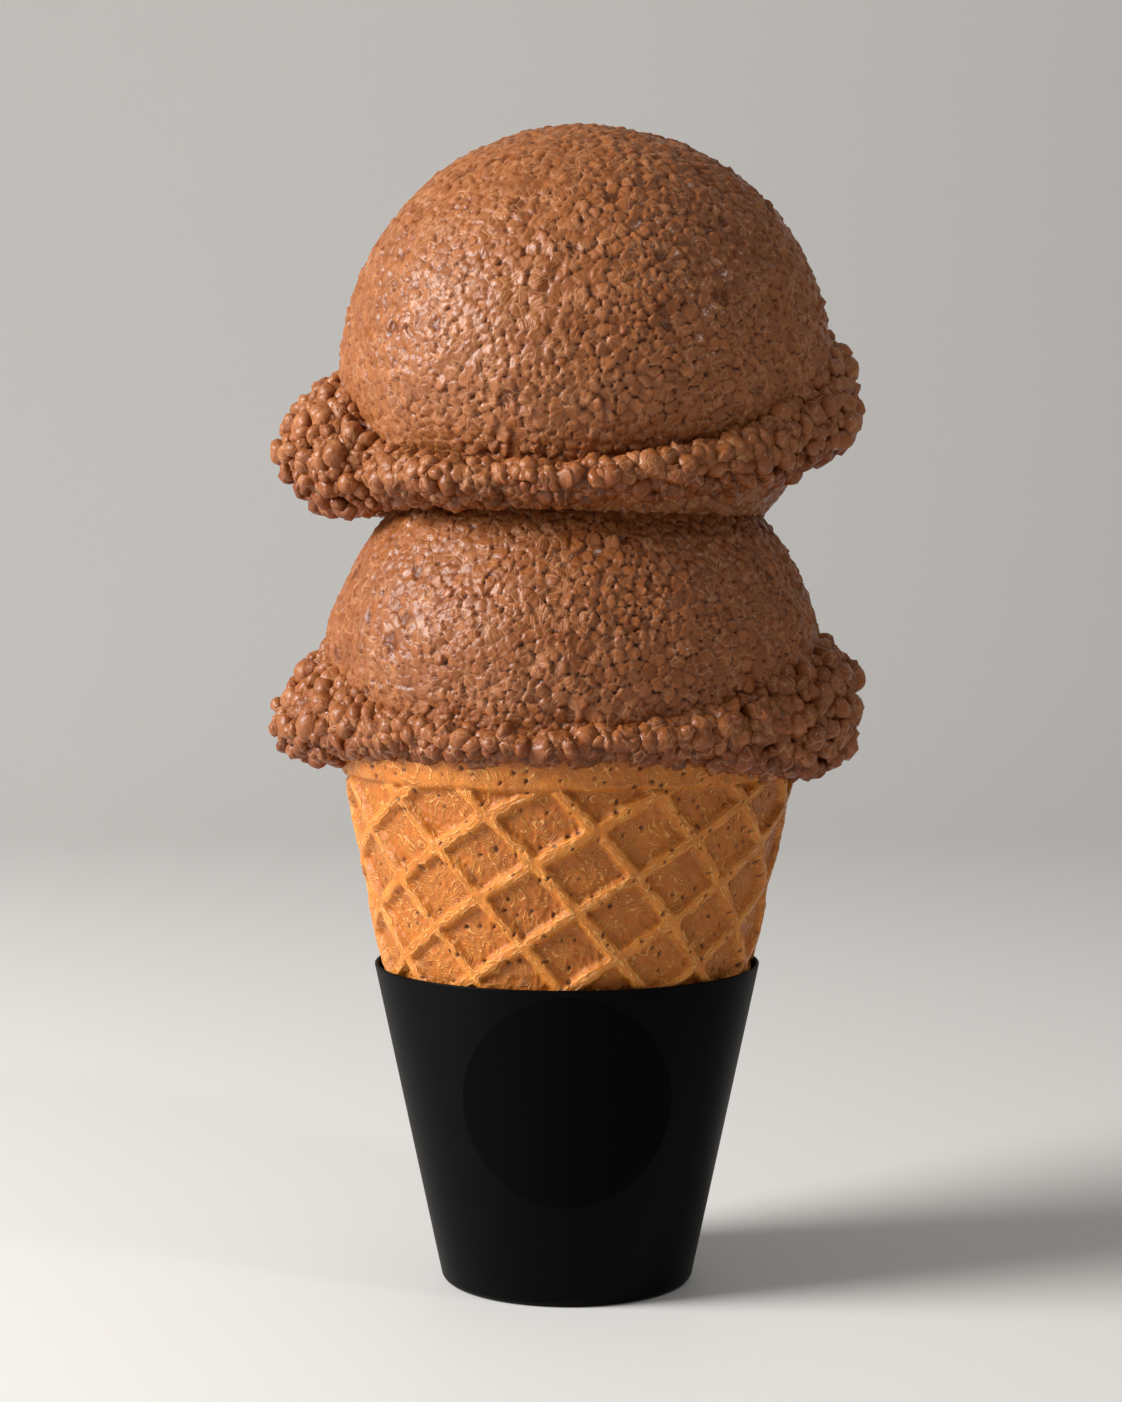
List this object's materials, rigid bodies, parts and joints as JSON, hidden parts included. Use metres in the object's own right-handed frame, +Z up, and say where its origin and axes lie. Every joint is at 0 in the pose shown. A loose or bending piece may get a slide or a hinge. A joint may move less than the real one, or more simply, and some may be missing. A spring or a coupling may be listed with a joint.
{
  "type": "ice cream cone in a holder",
  "caption": "Chocolate ice cream scoops with ruffled skirts, stacked on a waffle cone with a ridge lattice, which stands in a tapered black holder with a bare round sticker.",
  "frame": {"origin": "middle of the holder's flat base, on the surface it stands on", "axes": "+Z up along the cone, -Y towards the front with the sticker, +X to the right as seen from the front"},
  "size_m": [0.076, 0.065, 0.1465],
  "materials": {
    "holder_black": "satin black coating with a soft broad sheen and a bright worn rim",
    "label_black": "flat deep black paper sticker, bare",
    "wafer": "baked golden wafer, crisp, slightly glossy ridges with darker browned cells and small pores",
    "chocolate": "moist milk chocolate ice cream of tightly packed small granules, soft uneven gloss",
    "pale_chocolate": "moist pale milk chocolate ice cream of tightly packed small granules, soft uneven gloss"
  },
  "bodies": {
    "root": {"holder": "holder_black", "label": "label_black", "waffle_cone": "wafer", "lower_scoop": "chocolate", "upper_scoop": "pale_chocolate"}
  },
  "joints": []
}
